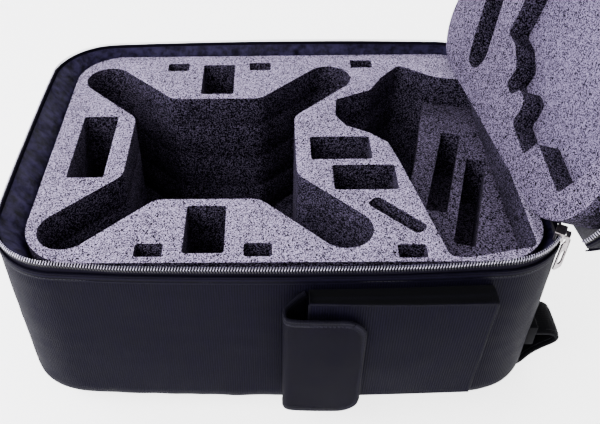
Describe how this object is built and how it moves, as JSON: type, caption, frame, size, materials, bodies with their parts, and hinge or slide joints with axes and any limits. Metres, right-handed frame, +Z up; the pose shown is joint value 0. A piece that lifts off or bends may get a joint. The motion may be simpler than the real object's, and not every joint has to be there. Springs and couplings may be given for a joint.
{
  "type": "drone carrying case",
  "caption": "Soft-sided backpack case lying open on its back, with a zip-round lid, cut foam for a quadcopter, its controller and batteries, and a side pocket with a flap.",
  "frame": {"origin": "on the resting face, under the middle of the case, on the spine pad of the back", "axes": "+X towards the hinge end, +Y away from the side pocket, +Z up out of the open case"},
  "size_m": [0.6808, 0.407, 0.6528],
  "materials": {
    "case_fabric": "near-black woven polyester with fine vertical ribs and a faint blue-violet cast",
    "back_mesh": "black spacer mesh over soft padding",
    "stiff_board": "plain stiffening board, sewn in",
    "satin_lining": "thin dark satin lining, slightly puckered",
    "foam": "closed-cell foam with a pale lavender-grey skin and darker cut walls",
    "zip_tape": "black woven zip tape",
    "zip_teeth": "black coil zip teeth",
    "webbing": "black ribbed webbing and bound edges",
    "piping": "fabric-covered piping cord",
    "hook_and_loop": "black hook-and-loop tape",
    "nickel": "bright nickel-plated casting"
  },
  "bodies": {
    "base": {"back_panel": "back_mesh", "base_board": "stiff_board", "base_zip_tape": "zip_tape", "base_zip_teeth": "zip_teeth", "controller_tray": "foam", "far_back_pad": "back_mesh", "far_shoulder_strap": "back_mesh", "far_strap_anchor": "webbing", "flap_return": "case_fabric", "floor_pad": "foam", "foam_bottom_layer": "foam", "foam_lower_layer": "foam", "foam_top_layer": "foam", "foam_upper_layer": "foam", "handle_anchors": "webbing", "hinge_panel": "case_fabric", "near_back_pad": "back_mesh", "near_shoulder_strap": "back_mesh", "near_strap_anchor": "webbing", "pocket_front": "case_fabric", "pocket_gusset": "satin_lining", "pocket_hem": "case_fabric", "pocket_hook_patch": "hook_and_loop", "rim_piping": "piping", "side_wall": "case_fabric", "spine_pad": "back_mesh", "strap_yoke": "webbing", "wall_board": "stiff_board", "wall_lining": "satin_lining"},
    "lid": {"lid_board": "stiff_board", "lid_cutout_foam": "foam", "lid_foam_backing": "foam", "lid_lining": "satin_lining", "lid_panel": "case_fabric", "lid_piping": "piping", "lid_side_band": "case_fabric", "lid_zip_tape": "zip_tape", "lid_zip_teeth": "zip_teeth"},
    "flap": {"flap_panel": "case_fabric", "flap_binding": "webbing", "flap_loop_patch": "hook_and_loop"},
    "near_slider": {"near_slider": "nickel"},
    "near_pull": {"near_pull_tab": "nickel"},
    "far_slider": {"far_slider": "nickel"},
    "far_pull": {"far_pull_tab": "nickel"},
    "handle": {"grab_handle": "webbing"}
  },
  "joints": [
    {"name": "lid_hinge", "type": "hinge", "parent": "base", "child": "lid", "pos_m": [0.2217, 0.003, 0.2095], "axis": [-0.0523, 0.9978, 0.0419], "range_deg": [-110, 0]},
    {"name": "near_slider_travel", "type": "hinge", "parent": "base", "child": "near_slider", "pos_m": [0.1832, -0.11572, 0.2044], "axis": [0, 0, 1], "range_deg": [-58, 0]},
    {"name": "near_pull_swing", "type": "hinge", "parent": "near_slider", "child": "near_pull", "pos_m": [0.24348, -0.15052, 0.2044], "axis": [-0.5, -0.866, 0], "range_deg": [0, 50]},
    {"name": "far_slider_travel", "type": "hinge", "parent": "base", "child": "far_slider", "pos_m": [0.1832, 0.11572, 0.2044], "axis": [0, 0, 1], "range_deg": [0, 30]},
    {"name": "far_pull_swing", "type": "hinge", "parent": "far_slider", "child": "far_pull", "pos_m": [0.22008, 0.17475, 0.2044], "axis": [0.848, -0.5299, 0], "range_deg": [0, 140]},
    {"name": "flap_fold", "type": "hinge", "parent": "base", "child": "flap", "pos_m": [0.0065, -0.2036, 0.104], "axis": [0, 0, 1], "range_deg": [-150, 0]},
    {"name": "handle_swing", "type": "hinge", "parent": "base", "child": "handle", "pos_m": [-0.255, 0, 0.118], "axis": [0, 1, 0], "range_deg": [0, 150]}
  ]
}
